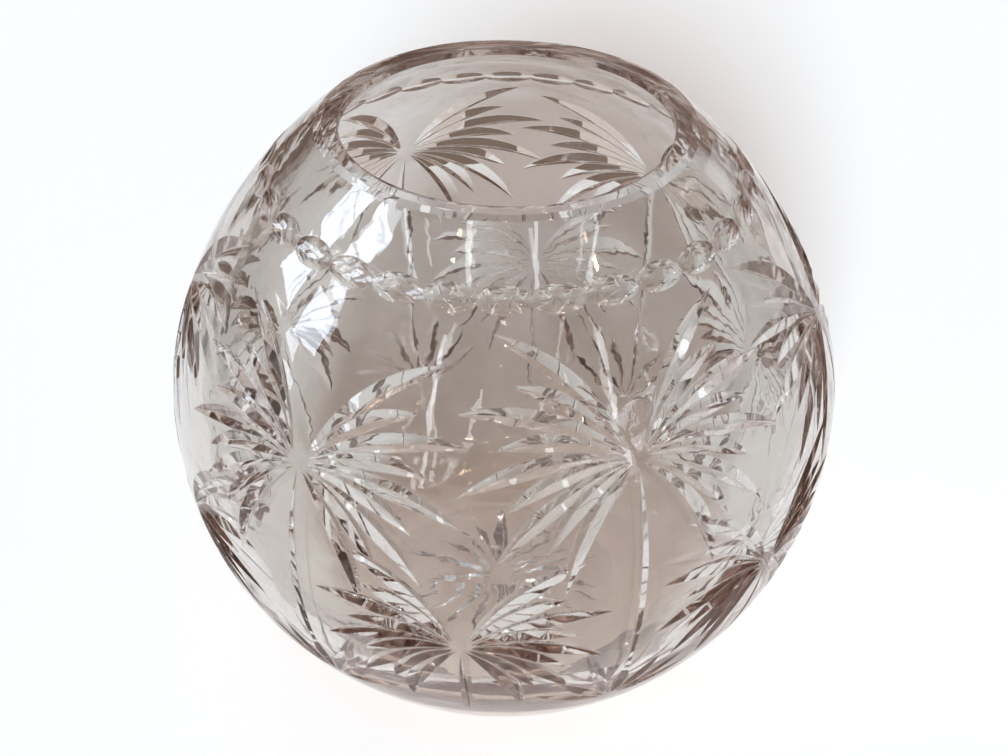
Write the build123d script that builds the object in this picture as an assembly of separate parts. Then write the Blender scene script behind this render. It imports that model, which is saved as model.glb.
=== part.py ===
from build123d import *
import os
from itertools import zip_longest
from math import cos, degrees, radians, sin, sqrt, tan

# Rose bowl of thick clear cut crystal, in millimetres. The foot stands on z = 0, the mouth is up.
# Azimuth 0 faces -Y and grows towards +X. A rise is measured along the outer wall, up from the belly line.

# The bowl
belly_radius = 100.0
belly_height = 86.5
overall_height = 175.5
belly_arc_radius = 86.0
belly_arc_height = 30.0
rim_radius = 53.5
rim_bevel = 1.3
mouth_radius = 47.5
mouth_land = 2.5
mouth_rounding = 0.6
wall = 7.5
base_thickness = 12.0
floor_fillet = 60.0
foot_radius = 54.0
foot_rounding = 1.5
foot_ring_width = 15.0
foot_recess = 1.2

# Crowns of curved leaves: the upper ones on the shoulder, the lower ones half a step round below the belly.
# They are set out by eye, so each has drifted from its even place by a few degrees and millimetres.
first_crown_azimuth = -36.0
upper_crown_rise = 33.5
upper_crown_scale = 1.0
upper_crown_drifts = [(1.0, -5.0), (-1.5, 4.0), (-3.5, 5.0), (3.5, -0.5), (-2.0, 4.5), (3.0, 1.0)]
lower_crown_rise = -19.0
lower_crown_scale = 0.85
lower_crown_drifts = [(-0.5, -2.0), (-4.0, 2.5), (1.5, 0.5), (-1.0, -1.5), (2.0, 1.0), (-2.0, -0.5)]
hub_radius = 3.0

# One wing of a crown: long leaves at even steps, with a short leaf under each of them but the last
long_leaf_count = 5
top_leaf_tilt = 41.0
leaf_tilt_step = 26.0
short_leaf_drop = 9.0
long_leaf_length = 53.0
long_leaf_shortening = 2.0
short_leaf_length = 40.0
short_leaf_shortening = 1.3
leaf_bow = 0.085
leaf_depth = 2.0
leaf_broad_angle = 60.0
leaf_steep_angle = 46.0

# A straight stem under each crown, and a fan of straight leaves where the upper stems end
stem_depth = 1.0
stem_side_angle = 50.0
lower_stem_length = 50.0
fan_rise = -62.0
fan_leaf_count = 7
fan_leaf_length = 26.0
fan_spread = 126.0
fan_leaf_depth = 1.3
fan_side_angle = 58.0

# The chain of olive cuts under the plain shoulder
olive_count = 30
olive_rise = 81.0
olive_length = 14.9
olive_width = 8.4
olive_depth = 1.4

# The star under the base: straight rays from its middle, long and short by turns
star_ray_count = 20
star_long_radius = 36.0
star_short_radius = 29.0
star_depth = 1.4
star_side_angle = 55.0

# How far a cutting tool stands proud of the wall, and how far it runs on past the ends of its cut
tool_clearance = 0.6
tool_run_out = 1.1

# The clear film label on the shoulder
label_azimuth = 79.0
label_rise = 92.0
label_width = 20.0
label_height = 11.0
label_corner = 1.5
label_thickness = 0.15


def arc_sag(radius, half_chord):
    return radius - sqrt(radius**2 - half_chord**2)


# The outer wall's meridian: one arc from the belly down to the foot, two from the belly up to the rim
foot_edge = Vector(foot_radius, 0, 0)
belly = Vector(belly_radius, 0, belly_height)
shoulder = Vector(
    belly_radius - arc_sag(belly_arc_radius, belly_arc_height), 0, belly_height + belly_arc_height
)
rim_edge = Vector(rim_radius, 0, overall_height)
lower_arc = TangentArc(belly, foot_edge, tangent=(0, 0, -1))
belly_arc = TangentArc(belly, shoulder, tangent=(0, 0, 1))
shoulder_arc = TangentArc(shoulder, rim_edge, tangent=belly_arc % 1)


def wall_point(azimuth, rise):
    """A point of the outer wall, and the wall's outward normal there."""
    if rise < 0:
        edge, along = lower_arc, -rise
    elif rise < belly_arc.length:
        edge, along = belly_arc, rise
    else:
        edge, along = shoulder_arc, rise - belly_arc.length
    point = edge.position_at(along, position_mode=PositionMode.LENGTH)
    run = edge.tangent_at(along, position_mode=PositionMode.LENGTH)
    upward = run if run.Z > 0 else -run
    turn = azimuth - 90
    return point.rotate(Axis.Z, turn), Vector(upward.Z, 0, -upward.X).rotate(Axis.Z, turn)


def wall_point_near(centre, across, up):
    """The same for a point given in millimetres along the wall from a centre's (azimuth, rise)."""
    azimuth, rise = centre
    radius = -wall_point(0, rise)[0].Y
    return wall_point(azimuth + degrees(across / radius), rise + up)


def bowl_section():
    """Half of the bowl's section, from its axis outwards."""
    lower_centre = belly_radius - lower_arc.radius
    floor_drop = belly_height - base_thickness
    floor_radius = lower_centre + sqrt((lower_arc.radius - wall) ** 2 - floor_drop**2)
    floor_edge = Vector(floor_radius, 0, base_thickness)
    inner_belly = Vector(belly_radius - wall, 0, belly_height)
    shoulder_out = belly_arc % 1
    inner_shoulder = shoulder - Vector(shoulder_out.Z, 0, -shoulder_out.X) * wall
    mouth_edge = Vector(mouth_radius, 0, overall_height)
    land_foot = Vector(mouth_radius, 0, overall_height - mouth_land)
    floor_centre = Vector(0, 0, base_thickness)
    recess_centre = Vector(0, 0, foot_recess)
    foot_inner = Vector(foot_radius - foot_ring_width, 0, 0)
    section = Face(
        Wire(
            [
                Line(recess_centre, floor_centre),
                Line(floor_centre, floor_edge),
                TangentArc(inner_belly, floor_edge, tangent=(0, 0, -1)),
                TangentArc(inner_belly, inner_shoulder, tangent=(0, 0, 1)),
                TangentArc(inner_shoulder, land_foot, tangent=belly_arc % 1),
                Line(land_foot, mouth_edge),
                Line(mouth_edge, rim_edge),
                shoulder_arc,
                belly_arc,
                lower_arc,
                Line(foot_edge, foot_inner),
                TangentArc(recess_centre, foot_inner, tangent=(1, 0, 0)),
            ]
        )
    )

    def corner(point):
        return section.vertices().sort_by_distance(point)[0]

    section = section.fillet_2d(floor_fillet, [corner(floor_edge)])
    section = section.fillet_2d(mouth_rounding, [corner(mouth_edge)])
    section = section.chamfer_2d(rim_bevel, rim_bevel, [corner(rim_edge)])
    return section.fillet_2d(foot_rounding, [corner(foot_edge)])


def groove_tool(begin, middle, end, normal, depth, left_angle, right_angle):
    """V-edged tool for one groove through three points of a surface, with the normal at the middle one.

    The groove's bottom is one arc: it meets the surface at both ends and is deepest in the middle. The
    angles of its sides, left and right of its run, are taken from the normal."""
    bottom = middle - normal * depth
    pivot = ThreePointArc(begin, bottom, end).arc_center
    axis = Axis(pivot, (begin - pivot).cross(end - pivot))
    run = axis.direction.cross(bottom - pivot).normalized()
    out = (normal - run * normal.dot(run)).normalized()
    left = out.cross(run)
    reach = depth + tool_clearance
    edge = Face(
        Wire.make_polygon(
            [
                bottom,
                bottom + (out + left * tan(radians(left_angle))) * reach,
                bottom + (out - left * tan(radians(right_angle))) * reach,
            ]
        )
    )
    back, ahead = ((point - pivot).get_angle(bottom - pivot) * tool_run_out for point in (begin, end))
    return Solid.revolve(edge.rotate(axis, -back), back + ahead, axis)


def wall_groove(centre, start, tip, depth, left_angle, right_angle, bow=0):
    """Tool for a groove in the outer wall between two points, each (across, up) from the centre.

    It bows to the left of its run, or to the right for a negative bow."""
    start, tip = Vector(*start), Vector(*tip)
    left = Vector(start.Y - tip.Y, tip.X - start.X).normalized()
    halfway = (start + tip) * 0.5 + left * bow
    begin, end = (wall_point_near(centre, point.X, point.Y)[0] for point in (start, tip))
    middle, normal = wall_point_near(centre, halfway.X, halfway.Y)
    return groove_tool(begin, middle, end, normal, depth, left_angle, right_angle)


def crown_wings(centre, scale):
    """Tools for the left and the right wing of a crown, whose leaves arch over and droop."""
    leaves = []
    for i in range(long_leaf_count):
        tilt = top_leaf_tilt - i * leaf_tilt_step
        leaves.append((tilt, long_leaf_length - i * long_leaf_shortening))
        if i < long_leaf_count - 1:
            leaves.append((tilt - short_leaf_drop, short_leaf_length - i * short_leaf_shortening))
    wings = []
    for side in (-1, 1):
        wing = []
        for tilt, full_length in leaves:
            length = full_length * scale
            across, up = side * cos(radians(tilt)), sin(radians(tilt))
            ends = [(across * far, up * far) for far in (hub_radius, length)]
            angles = (leaf_broad_angle, leaf_steep_angle)[::side]
            wing.append(wall_groove(centre, *ends, leaf_depth, *angles, side * leaf_bow * length))
        wings.append(wing)
    return wings


def stem_tool(centre, length):
    ends = (0, -hub_radius), (0, -length)
    return wall_groove(centre, *ends, stem_depth, stem_side_angle, stem_side_angle)


def fan_tools(centre):
    """Straight leaves that spread upwards."""
    tools = []
    for i in range(fan_leaf_count):
        lean = radians(fan_spread * (i / (fan_leaf_count - 1) - 0.5))
        ends = [(sin(lean) * far, cos(lean) * far) for far in (hub_radius, fan_leaf_length)]
        tools.append(wall_groove(centre, *ends, fan_leaf_depth, fan_side_angle, fan_side_angle))
    return tools


def star_tools():
    """The star's rays, cut up into the hollow under the base."""
    hollow_edge = foot_radius - foot_ring_width
    hollow_radius = (hollow_edge**2 + foot_recess**2) / (2 * foot_recess)
    hollow_centre = Vector(0, 0, foot_recess - hollow_radius)
    tools = []
    for i in range(star_ray_count):
        reach = star_short_radius if i % 2 else star_long_radius
        along = [hub_radius, (hub_radius + reach) / 2, reach]
        ray = [Vector(far, 0, foot_recess - arc_sag(hollow_radius, far)) for far in along]
        begin, middle, end = (point.rotate(Axis.Z, i * 360 / star_ray_count - 90) for point in ray)
        normal = (hollow_centre - middle).normalized()
        tools.append(groove_tool(begin, middle, end, normal, star_depth, star_side_angle, star_side_angle))
    return tools


def olive_tool(azimuth):
    """Barrel that grinds one oval hollow with pointed ends."""
    middle, normal = wall_point(azimuth, olive_rise)
    along = Vector(0, 0, 1).cross(normal).normalized()
    bottom = middle - normal * olive_depth
    wall_radius = Vector(middle.X, middle.Y).length / Vector(normal.X, normal.Y).length
    drop = arc_sag(wall_radius, olive_length / 2)
    ends = [middle + along * side * olive_length / 2 - normal * drop for side in (-1, 1)]
    belly_line = ThreePointArc(ends[0], bottom, ends[1])
    barrel_radius = olive_width**2 / (8 * olive_depth) + olive_depth / 2
    axis_middle = bottom + normal * barrel_radius
    feet = [axis_middle + along * (end - axis_middle).dot(along) for end in ends]
    sides = [Line(ends[1], feet[1]), Line(feet[1], feet[0]), Line(feet[0], ends[0])]
    outline = Face(Wire([belly_line, *sides]))
    return Solid.revolve(outline, 360, Axis(axis_middle, along))


def cutting_passes():
    """All leaf and stem tools, in passes whose tools keep mostly clear of each other."""
    step = 360 / len(upper_crown_drifts)
    groups, stems = [], []
    for i, (drift_azimuth, drift_rise) in enumerate(upper_crown_drifts):
        centre = (first_crown_azimuth + i * step + drift_azimuth, upper_crown_rise + drift_rise)
        left_wing, right_wing = crown_wings(centre, upper_crown_scale)
        groups += [left_wing, right_wing[::-1], fan_tools((centre[0], fan_rise))]
        stems.append(stem_tool(centre, centre[1] - fan_rise))
    for i, (drift_azimuth, drift_rise) in enumerate(lower_crown_drifts):
        centre = (first_crown_azimuth + (i + 0.5) * step + drift_azimuth, lower_crown_rise + drift_rise)
        left_wing, right_wing = crown_wings(centre, lower_crown_scale)
        groups += [left_wing, right_wing[::-1]]
        stems.append(stem_tool(centre, lower_stem_length))
    return [[tool for tool in tools if tool] for tools in zip_longest(*groups)] + [stems]


def crystal_bowl():
    bowl = Solid.revolve(bowl_section(), 360, Axis.Z)
    olives = [olive_tool(i * 360 / olive_count) for i in range(olive_count)]
    rays = star_tools()
    for tools in cutting_passes() + [olives, rays[::2], rays[1::2]]:
        bowl = bowl.cut(*tools)
    return bowl


def clear_label():
    """Thin film that lies on the plain shoulder."""
    rises = [label_rise + step * label_height / 2 for step in (-1, 0, 1)]
    touching = [wall_point(90, rise) for rise in rises]
    under = [point for point, normal in touching]
    over = [point + normal * label_thickness for point, normal in touching]
    sides = [Line(under[2], over[2]), Line(over[0], under[0])]
    section = Face(Wire([ThreePointArc(*under), sides[0], ThreePointArc(*over), sides[1]]))
    angle = degrees(label_width / under[1].X)
    film = Solid.revolve(section, angle, Axis.Z).rotate(Axis.Z, label_azimuth - 90 - angle / 2)
    corners = [edge for edge in film.edges() if edge.length < 2 * label_thickness]
    return film.fillet(label_corner, corners)


os.makedirs("parts", exist_ok=True)
for name, solid in (("crystal_bowl", crystal_bowl()), ("clear_label", clear_label())):
    solid.label = name
    export_step(solid, f"parts/{name}.step")
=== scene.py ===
"""Dresses the cut-crystal rose bowl and sets it on a plain studio floor."""

import math

import bpy
from bpy.props import FloatProperty, FloatVectorProperty, IntProperty, PointerProperty
from mathutils import Matrix, Vector

bl_info = {
    "name": "Cut Crystal Rose Bowl",
    "version": (1, 0, 0),
    "blender": (4, 5, 0),
    "location": "3D View > Sidebar > Rose Bowl",
    "description": "Dresses a cut-crystal rose bowl and sets it on a plain studio floor",
    "category": "Object",
}

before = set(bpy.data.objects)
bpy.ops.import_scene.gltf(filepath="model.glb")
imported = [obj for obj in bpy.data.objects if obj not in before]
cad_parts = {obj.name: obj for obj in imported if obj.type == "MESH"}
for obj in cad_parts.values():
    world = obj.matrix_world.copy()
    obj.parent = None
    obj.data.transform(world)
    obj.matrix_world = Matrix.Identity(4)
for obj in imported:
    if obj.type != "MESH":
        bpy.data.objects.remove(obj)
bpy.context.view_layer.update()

# Light has to pass through many facets before it leaves the glass
LIGHT_BOUNCES = 40
EDGE_SAMPLES = 4

SENSOR_WIDTH = 36
FLOOR_CORNERS = 96

# Places and sizes of the lights, in metres
CEILING_STRIP_X = (-1.1, -0.4, 0.3, 1.0)
CEILING_STRIP_Y = -0.1
CEILING_STRIP_Z = 1.6
CEILING_STRIP_SIZE = (0.05, 2.2)
FRONT_STRIP_TURNS = (math.radians(-25), math.radians(40))
FRONT_STRIP_PLACE = Vector((0, -2.0, 0.8))
FRONT_STRIP_SIZE = (0.06, 1.3)
SOFTBOX_PLACE = (0, 1.0, 1.4)
SOFTBOX_SIZE = (2.4, 1.2)
WINDOW_X = -1.0
WINDOW_Y = (-0.24, 0.12)
WINDOW_Z = (0.5, 0.78, 1.06)
PANE_SIZE = (0.23, 0.2)
SPOT_COUNT = 14
SPOT_DISTANCE = 1.8
SPOT_SIZE = (0.05, 0.05)
SPOT_LOWEST = math.radians(40)
SPOT_HIGHEST = math.radians(85)
SPOT_TURN = math.radians(137.5)

# The surroundings: heights of the three colours, and the soft patches of light and dark over them
ROOM_HEIGHTS = (0.0, 0.35, 0.9)
PATCH_SCALE = 2.4
PATCH_GAIN = 6.0
PATCH_DROP = 2.0
PATCH_LEAST = 0.25


class Value:
    """A node's output. Arithmetic on it adds Math nodes to the same tree."""

    def __init__(self, socket):
        self.socket = socket

    def math(self, operation, *terms):
        """Adds a Math node for an operation on the terms."""
        shader = Shader(self.socket.id_data)
        return shader.node("Math", {"operation": operation}, dict(enumerate(terms)))

    def __add__(self, other):
        return self.math("ADD", self, other)

    def __sub__(self, other):
        return self.math("SUBTRACT", self, other)

    def __rsub__(self, other):
        return self.math("SUBTRACT", other, self)

    def __mul__(self, other):
        return self.math("MULTIPLY", self, other)

    __radd__ = __add__
    __rmul__ = __mul__


class Shader:
    """A node tree, to which nodes are added one call at a time."""

    def __init__(self, tree):
        self.tree = tree

    @classmethod
    def empty(cls, owner):
        """The cleared tree of a material or a world."""
        owner.use_nodes = True
        owner.node_tree.nodes.clear()
        return cls(owner.node_tree)

    def node(self, kind, settings=None, sockets=None, output=0):
        """Adds a node, sets its settings and then its sockets, and gives one of its outputs."""
        node = self.tree.nodes.new("ShaderNode" + kind)
        for name, setting in (settings or {}).items():
            if name == "stops":
                self.set_stops(node.color_ramp, setting)
            else:
                setattr(node, name, setting)
        for name, value in (sockets or {}).items():
            if isinstance(value, Value):
                self.tree.links.new(value.socket, node.inputs[name])
            else:
                node.inputs[name].default_value = value
        return Value(node.outputs[output]) if node.outputs else None

    @staticmethod
    def set_stops(ramp, stops):
        """Gives a colour ramp its positions and colours."""
        while len(ramp.elements) < len(stops):
            ramp.elements.new(1.0)
        for element, (position, colour) in zip(ramp.elements, stops):
            element.position, element.color = position, colour


class CrystalSettings(bpy.types.PropertyGroup):
    """Finish of the cut glass."""

    tint: FloatVectorProperty(
        name="Tint",
        description="Colour that one surface of the glass gives to light",
        subtype="COLOR",
        size=4,
        min=0,
        max=1,
        default=(0.87, 0.866, 0.85, 1),
    )
    deep_tint: FloatVectorProperty(
        name="Deep Tint",
        description="Slightly deeper colour of the glass in soft streaks",
        subtype="COLOR",
        size=4,
        min=0,
        max=1,
        default=(0.77, 0.762, 0.74, 1),
    )
    depth_colour: FloatVectorProperty(
        name="Depth Colour",
        description="Colour that the glass takes on where light runs far through it",
        subtype="COLOR",
        size=4,
        min=0,
        max=1,
        default=(0.60, 0.445, 0.37, 1),
    )
    depth_density: FloatProperty(
        name="Depth Density",
        description="How soon the depth colour shows, per metre of glass",
        default=14,
        min=0,
    )
    shadow_tint: FloatVectorProperty(
        name="Shadow Tint",
        description="Light that reaches the floor through one surface of the glass",
        subtype="COLOR",
        size=4,
        min=0,
        max=1,
        default=(0.78, 0.70, 0.645, 1),
    )
    refraction: FloatProperty(
        name="Refractive Index",
        description="Refractive index of lead crystal",
        default=1.55,
        min=1,
    )
    polish: FloatProperty(
        name="Polish",
        description="Greatest roughness left by polishing",
        default=0.02,
        min=0,
        max=1,
        subtype="FACTOR",
    )
    cloud_size: FloatProperty(
        name="Cloud Size",
        description="Size of the soft streaks in the colour of the glass",
        default=0.05,
        unit="LENGTH",
    )
    wear_size: FloatProperty(
        name="Wear Size",
        description="Size of the faint marks of wear",
        default=0.004,
        unit="LENGTH",
    )
    ripple_size: FloatProperty(
        name="Ripple Size",
        description="Size of the faint ripple in the blown surface",
        default=0.026,
        unit="LENGTH",
    )
    ripple_height: FloatProperty(
        name="Ripple Height",
        description="Height of the faint ripple in the blown surface",
        default=0.00055,
        unit="LENGTH",
    )
    streak_size: FloatProperty(
        name="Streak Size",
        description="Size of the fine waves that the cutting wheel leaves",
        default=0.0035,
        unit="LENGTH",
    )
    streak_height: FloatProperty(
        name="Streak Height",
        description="Height of the fine waves that the cutting wheel leaves",
        default=0.00002,
        unit="LENGTH",
    )
    edge_radius: FloatProperty(
        name="Edge Radius",
        description="Rounding that polishing leaves on the edges of the cuts",
        default=0.0004,
        unit="LENGTH",
    )


class LabelSettings(bpy.types.PropertyGroup):
    """Finish of the clear film label."""

    tint: FloatVectorProperty(
        name="Tint",
        description="Colour of the film",
        subtype="COLOR",
        size=4,
        min=0,
        max=1,
        default=(0.93, 0.93, 0.92, 1),
    )
    haze: FloatProperty(
        name="Haze",
        description="How much of what lies behind the film is hidden",
        default=0.12,
        min=0,
        max=1,
        subtype="FACTOR",
    )
    haze_swing: FloatProperty(
        name="Haze Swing",
        description="Share of the haze that comes and goes over the film",
        default=0.6,
        min=0,
        max=1,
        subtype="FACTOR",
    )
    gloss: FloatProperty(
        name="Gloss",
        description="Least roughness of the film",
        default=0.05,
        min=0,
        max=1,
        subtype="FACTOR",
    )
    gloss_swing: FloatProperty(
        name="Gloss Swing",
        description="Roughness that comes and goes over the film",
        default=0.1,
        min=0,
        max=1,
        subtype="FACTOR",
    )
    cloud_size: FloatProperty(
        name="Cloud Size",
        description="Size of the clouds in the haze",
        default=0.003,
        unit="LENGTH",
    )
    refraction: FloatProperty(
        name="Refractive Index", description="Refractive index of the film", default=1.5, min=1
    )


class StageSettings(bpy.types.PropertyGroup):
    """Floor, lights and camera."""

    floor_colour: FloatVectorProperty(
        name="Floor Colour",
        description="Pale colour of the studio floor",
        subtype="COLOR",
        size=4,
        min=0,
        max=1,
        default=(0.93, 0.93, 0.93, 1),
    )
    floor_radius: FloatProperty(
        name="Floor Radius", description="Radius of the studio floor", default=12, unit="LENGTH"
    )
    camera_distance: FloatProperty(
        name="Camera Distance",
        description="Distance from the camera to the middle of the bowl",
        default=0.6396,
        unit="LENGTH",
    )
    camera_elevation: FloatProperty(
        name="Camera Elevation",
        description="How far the camera looks down",
        default=math.radians(34.64),
        subtype="ANGLE",
    )
    camera_roll: FloatProperty(
        name="Camera Roll",
        description="Turn of the camera about its own line of sight",
        default=math.radians(0.667),
        subtype="ANGLE",
    )
    camera_lens: FloatProperty(
        name="Camera Lens",
        description="Focal length on a 36 mm sensor",
        default=74.8,
        unit="CAMERA",
    )
    aim_height: FloatProperty(
        name="Aim Height",
        description="Height of the point that the camera looks at",
        default=0.0876,
        unit="LENGTH",
    )
    key_strength: FloatProperty(
        name="Key Strength", description="Strength of the broad front light", default=5.6, min=0
    )
    key_colour: FloatVectorProperty(
        name="Key Colour",
        description="Colour of the broad front light",
        subtype="COLOR",
        min=0,
        max=1,
        default=(0.96, 0.985, 1.0),
    )
    key_direction: FloatVectorProperty(
        name="Key Direction",
        description="Where the broad front light comes from",
        subtype="DIRECTION",
        default=(-0.10, -0.92, 0.36),
    )
    key_spread: FloatProperty(
        name="Key Spread",
        description="Width of the broad front light, which softens the shadow",
        default=math.radians(14),
        subtype="ANGLE",
    )
    strip_radiance: FloatProperty(
        name="Strip Radiance",
        description="Brightness of the ceiling and front strips",
        default=7.0,
        min=0,
    )
    softbox_radiance: FloatProperty(
        name="Softbox Radiance",
        description="Brightness of the softbox high at the back",
        default=1.1,
        min=0,
    )
    window_radiance: FloatProperty(
        name="Window Radiance",
        description="Brightness of the window panes at the left",
        default=10.0,
        min=0,
    )
    window_colour: FloatVectorProperty(
        name="Window Colour",
        description="Cool colour of the window and of the softbox",
        subtype="COLOR",
        min=0,
        max=1,
        default=(0.74, 0.85, 1.0),
    )
    strip_colour: FloatVectorProperty(
        name="Strip Colour",
        description="Cool colour of the strips and of every other spot",
        subtype="COLOR",
        min=0,
        max=1,
        default=(0.90, 0.97, 1.0),
    )
    spot_radiance: FloatProperty(
        name="Spot Radiance",
        description="Brightness of the small ceiling spots",
        default=30.0,
        min=0,
    )
    warm_spot_colour: FloatVectorProperty(
        name="Warm Spot Colour",
        description="Colour of every other ceiling spot",
        subtype="COLOR",
        min=0,
        max=1,
        default=(1.0, 0.76, 0.55),
    )
    card_count: IntProperty(
        name="Card Count", description="Number of cards behind the set", default=9, min=2
    )
    card_spread: FloatProperty(
        name="Card Spread",
        description="Angle that the cards take up around the bowl",
        default=math.radians(144),
        subtype="ANGLE",
    )
    card_distance: FloatProperty(
        name="Card Distance",
        description="Distance of the cards from the bowl",
        default=0.75,
        unit="LENGTH",
    )
    card_width: FloatProperty(
        name="Card Width", description="Width of a card", default=0.24, unit="LENGTH"
    )
    card_height: FloatProperty(
        name="Card Height", description="Height of a card", default=0.28, unit="LENGTH"
    )
    dark_card: FloatVectorProperty(
        name="Dark Card",
        description="Colour of the first card and every other one",
        subtype="COLOR",
        size=4,
        min=0,
        max=1,
        default=(0.095, 0.068, 0.053, 1),
    )
    pale_card: FloatVectorProperty(
        name="Pale Card",
        description="Colour of the cards between the dark ones",
        subtype="COLOR",
        size=4,
        min=0,
        max=1,
        default=(0.36, 0.32, 0.30, 1),
    )
    low_room: FloatVectorProperty(
        name="Low Room",
        description="Colour of the surroundings near the horizon",
        subtype="COLOR",
        size=4,
        min=0,
        max=1,
        default=(0.24, 0.19, 0.165, 1),
    )
    middle_room: FloatVectorProperty(
        name="Middle Room",
        description="Colour of the surroundings halfway up",
        subtype="COLOR",
        size=4,
        min=0,
        max=1,
        default=(0.30, 0.24, 0.21, 1),
    )
    high_room: FloatVectorProperty(
        name="High Room",
        description="Colour of the surroundings overhead",
        subtype="COLOR",
        size=4,
        min=0,
        max=1,
        default=(0.46, 0.51, 0.55, 1),
    )


def crystal_material(look):
    """Clear polished glass with a faint warm tint, a soft ripple and a trace of wear."""
    material = bpy.data.materials.new("clear_crystal_polished")
    shader = Shader.empty(material)
    place = shader.node("TexCoord", output="Object")

    def noise(size, detail, distortion=0.0):
        sockets = {"Vector": place, "Scale": 1 / size, "Detail": detail, "Distortion": distortion}
        return shader.node("TexNoise", None, sockets)

    clouds = noise(look.cloud_size, 2.0, 0.6)
    wear = noise(look.wear_size, 3.0)
    ripple = noise(look.ripple_size, 1.0)
    streaks = noise(look.streak_size, 1.0)
    tint = shader.node(
        "Mix",
        {"data_type": "RGBA"},
        {"Factor": clouds, "A": tuple(look.tint), "B": tuple(look.deep_tint)},
        output="Result",
    )
    edge = shader.node("Bevel", {"samples": EDGE_SAMPLES}, {"Radius": look.edge_radius})
    height = ripple * look.ripple_height + streaks * look.streak_height
    bump = shader.node(
        "Bump", None, {"Normal": edge, "Height": height, "Strength": 1.0, "Distance": 1.0}
    )
    glass = shader.node(
        "BsdfPrincipled",
        None,
        {
            "Base Color": tint,
            "Roughness": wear * look.polish,
            "IOR": look.refraction,
            "Transmission Weight": 1.0,
            "Normal": bump,
        },
    )
    clear = shader.node("BsdfTransparent", None, {"Color": tuple(look.shadow_tint)})
    shadow_ray = shader.node("LightPath", output="Is Shadow Ray")
    surface = shader.node("MixShader", None, {0: shadow_ray, 1: glass, 2: clear})
    depth = shader.node(
        "VolumeAbsorption",
        None,
        {"Color": tuple(look.depth_colour), "Density": look.depth_density},
    )
    shader.node("OutputMaterial", None, {"Surface": surface, "Volume": depth})
    return material


def film_material(look):
    """Thin clear film, glossy, with a faint haze."""
    material = bpy.data.materials.new("clear_film_gloss")
    shader = Shader.empty(material)
    place = shader.node("TexCoord", output="Object")
    cloud = shader.node(
        "TexNoise", None, {"Vector": place, "Scale": 1 / look.cloud_size, "Detail": 3.0}
    )
    film = shader.node(
        "BsdfPrincipled",
        None,
        {
            "Base Color": tuple(look.tint),
            "Roughness": look.gloss + cloud * look.gloss_swing,
            "IOR": look.refraction,
            "Alpha": look.haze * (1 - look.haze_swing / 2 + cloud * look.haze_swing),
        },
    )
    shader.node("OutputMaterial", None, {"Surface": film})
    return material


def matt_material(name, colour):
    """Plain matt paint."""
    material = bpy.data.materials.new(name)
    shader = Shader.empty(material)
    paint = shader.node("BsdfDiffuse", None, {"Color": tuple(colour)})
    shader.node("OutputMaterial", None, {"Surface": paint})
    return material


def make_floor(radius, colour):
    """Plain round floor under the bowl."""
    turns = [math.tau * i / FLOOR_CORNERS for i in range(FLOOR_CORNERS)]
    corners = [(radius * math.cos(turn), radius * math.sin(turn), 0) for turn in turns]
    mesh = bpy.data.meshes.new("studio_floor")
    mesh.from_pydata(corners, [], [range(FLOOR_CORNERS)])
    mesh.materials.append(matt_material("studio_floor", colour))
    floor = bpy.data.objects.new("studio_floor", mesh)
    bpy.context.scene.collection.objects.link(floor)


def make_camera(look):
    """Camera that looks down at the bowl from the front."""
    data = bpy.data.cameras.new("photo_camera")
    data.lens, data.sensor_width = look.camera_lens, SENSOR_WIDTH
    camera = bpy.data.objects.new("photo_camera", data)
    turn = Matrix.Rotation(math.pi / 2 - look.camera_elevation, 4, "X")
    roll = Matrix.Rotation(look.camera_roll, 4, "Z")
    aim = Matrix.Translation((0, 0, look.aim_height))
    camera.matrix_world = aim @ turn @ roll @ Matrix.Translation((0, 0, look.camera_distance))
    bpy.context.scene.collection.objects.link(camera)
    bpy.context.scene.camera = camera


def make_key(look):
    """A broad distant light that lights the floor and stays out of the glass."""
    data = bpy.data.lights.new("front_light", "SUN")
    data.energy, data.color, data.angle = look.key_strength, look.key_colour, look.key_spread
    key = bpy.data.objects.new("front_light", data)
    key.rotation_mode = "QUATERNION"
    key.rotation_quaternion = Vector(look.key_direction).to_track_quat("Z", "Y")
    key.visible_glossy = key.visible_transmission = False
    bpy.context.scene.collection.objects.link(key)


def make_panel(name, place, aim, size, radiance, colour):
    """A flat light that shows in the glass and adds nothing to the light on the floor."""
    width, height = size
    data = bpy.data.lights.new(name, "AREA")
    data.shape, data.size, data.size_y = "RECTANGLE", width, height
    data.energy, data.color = radiance * math.pi * width * height, colour
    panel = bpy.data.objects.new(name, data)
    panel.location = place
    panel.rotation_mode = "QUATERNION"
    panel.rotation_quaternion = (Vector(place) - Vector(aim)).to_track_quat("Z", "Y")
    panel.visible_diffuse = False
    bpy.context.scene.collection.objects.link(panel)


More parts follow.
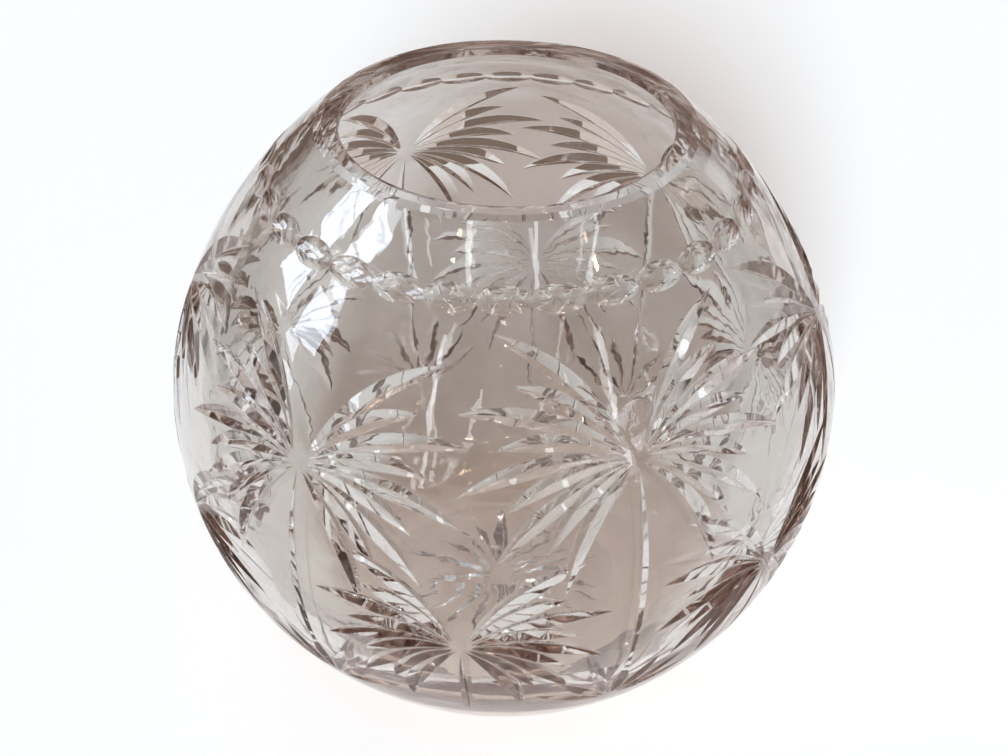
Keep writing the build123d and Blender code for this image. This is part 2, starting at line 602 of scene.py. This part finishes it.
def make_panels(look):
    """Strips overhead and in front, a softbox behind, a window at the left and small spots."""
    aim = (0, 0, look.aim_height)
    strip = look.strip_radiance, look.strip_colour
    for i, x in enumerate(CEILING_STRIP_X):
        place, under = (x, CEILING_STRIP_Y, CEILING_STRIP_Z), (x, CEILING_STRIP_Y, 0)
        make_panel(f"ceiling_strip_{i}", place, under, CEILING_STRIP_SIZE, *strip)
    for i, turn in enumerate(FRONT_STRIP_TURNS):
        place = Matrix.Rotation(turn, 3, "Z") @ FRONT_STRIP_PLACE
        make_panel(f"front_strip_{i}", place, aim, FRONT_STRIP_SIZE, *strip)
    softbox = look.softbox_radiance, look.window_colour
    make_panel("back_softbox", SOFTBOX_PLACE, aim, SOFTBOX_SIZE, *softbox)
    for row, z in enumerate(WINDOW_Z):
        for column, y in enumerate(WINDOW_Y):
            name, place = f"window_pane_{row}{column}", (WINDOW_X, y, z)
            make_panel(name, place, aim, PANE_SIZE, look.window_radiance, look.window_colour)
    for i in range(SPOT_COUNT):
        rise = SPOT_LOWEST + (SPOT_HIGHEST - SPOT_LOWEST) * i / (SPOT_COUNT - 1)
        turn = i * SPOT_TURN
        flat = SPOT_DISTANCE * math.cos(rise)
        place = (flat * math.sin(turn), -flat * math.cos(turn), SPOT_DISTANCE * math.sin(rise))
        colour = look.warm_spot_colour if i % 2 else look.strip_colour
        make_panel(f"ceiling_spot_{i:02d}", place, aim, SPOT_SIZE, look.spot_radiance, colour)


def make_cards(look):
    """Upright cards behind the set, dark and paler by turns, which show in the glass alone."""
    dark = matt_material("dark_card", look.dark_card)
    paints = dark, matt_material("pale_card", look.pale_card)
    half, high = look.card_width / 2, look.card_height
    corners = [(-half, 0, 0), (half, 0, 0), (half, 0, high), (-half, 0, high)]
    for i in range(look.card_count):
        turn = look.card_spread * (i / (look.card_count - 1) - 0.5)
        mesh = bpy.data.meshes.new(f"card_{i}")
        mesh.from_pydata(corners, [], [range(len(corners))])
        mesh.materials.append(paints[i % 2])
        card = bpy.data.objects.new(f"card_{i}", mesh)
        card.location = Vector((math.sin(turn), math.cos(turn), 0)) * look.card_distance
        card.rotation_euler.z = -turn
        card.visible_camera = card.visible_diffuse = card.visible_shadow = False
        bpy.context.scene.collection.objects.link(card)


def make_room(look):
    """Surroundings that are warm and dim at the horizon and pale overhead, in soft patches."""
    world = bpy.data.worlds.new("warm_room")
    shader = Shader.empty(world)
    way = shader.node("TexCoord", output="Generated")
    height = shader.node("SeparateXYZ", None, {0: way}, output="Z")
    stops = list(zip(ROOM_HEIGHTS, (look.low_room, look.middle_room, look.high_room)))
    colour = shader.node("ValToRGB", {"stops": stops}, {"Fac": height})
    texture = {"Vector": way, "Scale": PATCH_SCALE, "Detail": 3.0, "Roughness": 0.6}
    patches = shader.node("TexNoise", None, texture)
    strength = patches.math("MAXIMUM", patches * PATCH_GAIN - PATCH_DROP, PATCH_LEAST)
    light = shader.node("Background", None, {"Color": colour, "Strength": strength})
    shader.node("OutputWorld", None, {"Surface": light})
    bpy.context.scene.world = world


class ROSEBOWL_OT_crystal(bpy.types.Operator):
    """Give the bowl its polished crystal"""

    bl_idname = "rose_bowl.crystal"
    bl_label = "Dress Crystal Bowl"

    def execute(self, context):
        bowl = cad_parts["crystal_bowl"]
        bowl.data.materials[0] = crystal_material(context.scene.rose_bowl_crystal)
        return {"FINISHED"}


class ROSEBOWL_OT_label(bpy.types.Operator):
    """Give the shoulder label its clear film"""

    bl_idname = "rose_bowl.label"
    bl_label = "Dress Clear Label"

    def execute(self, context):
        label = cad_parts["clear_label"]
        label.data.materials[0] = film_material(context.scene.rose_bowl_label)
        return {"FINISHED"}


class ROSEBOWL_OT_stage(bpy.types.Operator):
    """Lay the floor, hang the lights and place the camera"""

    bl_idname = "rose_bowl.stage"
    bl_label = "Set Stage"

    def execute(self, context):
        look = context.scene.rose_bowl_stage
        make_floor(look.floor_radius, look.floor_colour)
        make_room(look)
        make_key(look)
        make_panels(look)
        make_cards(look)
        make_camera(look)
        cycles = context.scene.cycles
        cycles.max_bounces = cycles.transmission_bounces = cycles.glossy_bounces = LIGHT_BOUNCES
        cycles.transparent_max_bounces = LIGHT_BOUNCES
        context.scene.view_settings.view_transform = "Standard"
        return {"FINISHED"}


class ROSEBOWL_PT_pieces(bpy.types.Panel):
    """Lists the bowl's pieces and the stage"""

    bl_idname = "ROSEBOWL_PT_pieces"
    bl_label = "Rose Bowl"
    bl_space_type = "VIEW_3D"
    bl_region_type = "UI"
    bl_category = "Rose Bowl"

    def draw(self, context):
        for operator in OPERATORS:
            self.layout.operator(operator.bl_idname)


SETTINGS = {
    "rose_bowl_crystal": CrystalSettings,
    "rose_bowl_label": LabelSettings,
    "rose_bowl_stage": StageSettings,
}
OPERATORS = (ROSEBOWL_OT_crystal, ROSEBOWL_OT_label, ROSEBOWL_OT_stage)
CLASSES = (*SETTINGS.values(), *OPERATORS, ROSEBOWL_PT_pieces)


def register():
    for cls in CLASSES:
        bpy.utils.register_class(cls)
    for name, group in SETTINGS.items():
        setattr(bpy.types.Scene, name, PointerProperty(type=group))


def unregister():
    for name in SETTINGS:
        delattr(bpy.types.Scene, name)
    for cls in reversed(CLASSES):
        bpy.utils.unregister_class(cls)


def main():
    register()
    bpy.ops.rose_bowl.crystal()
    bpy.ops.rose_bowl.label()
    bpy.ops.rose_bowl.stage()


if __name__ == "__main__":
    main()
